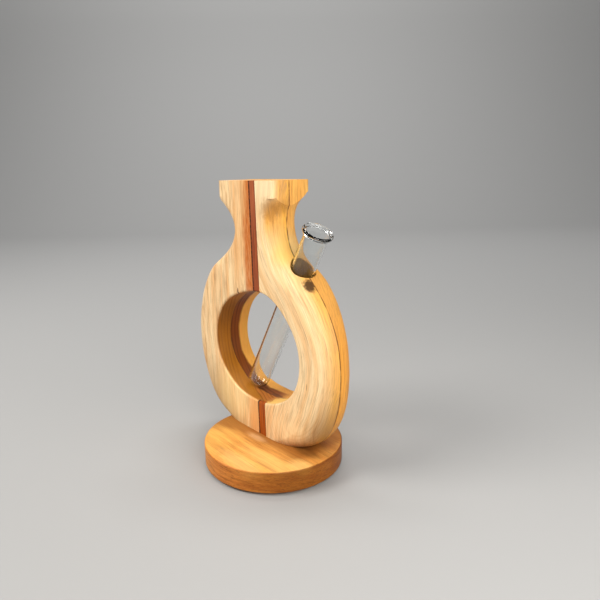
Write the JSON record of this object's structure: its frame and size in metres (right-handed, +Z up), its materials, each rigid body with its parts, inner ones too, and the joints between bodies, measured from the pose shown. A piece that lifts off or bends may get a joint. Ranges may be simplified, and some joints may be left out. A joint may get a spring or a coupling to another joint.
{
  "type": "test tube vase",
  "caption": "Wooden bud vase: a flask-shaped ring of glued boards on a round base, with a glass test tube standing in a slanting bore in its shoulder to hold a stem and water.",
  "frame": {"origin": "on the table under the middle of the round base", "axes": "+Z up, +X towards the side the tube leans to, -Y towards the front face with the accent strip"},
  "size_m": [0.1605, 0.11, 0.217],
  "materials": {
    "front_wood": "oiled satin, fine upright grain",
    "back_wood": "oiled satin, upright grain",
    "accent_wood": "oiled satin, red-brown",
    "base_wood": "oiled satin, straight grain",
    "screw_steel": "plain",
    "felt": "felt",
    "tube_glass": "clear, polished"
  },
  "bodies": {
    "stand": {"left_front_board": "front_wood", "right_front_board": "front_wood", "accent_strip_upper": "accent_wood", "accent_strip_lower": "accent_wood", "back_board": "back_wood", "base_disc": "base_wood", "base_screws": "screw_steel", "felt_disc": "felt"},
    "tube": {"test_tube": "tube_glass"}
  },
  "joints": [
    {"name": "tube_lift", "type": "slide", "parent": "stand", "child": "tube", "axis": [0.4859, 0, 0.874], "range_m": [0, 0.14]}
  ]
}
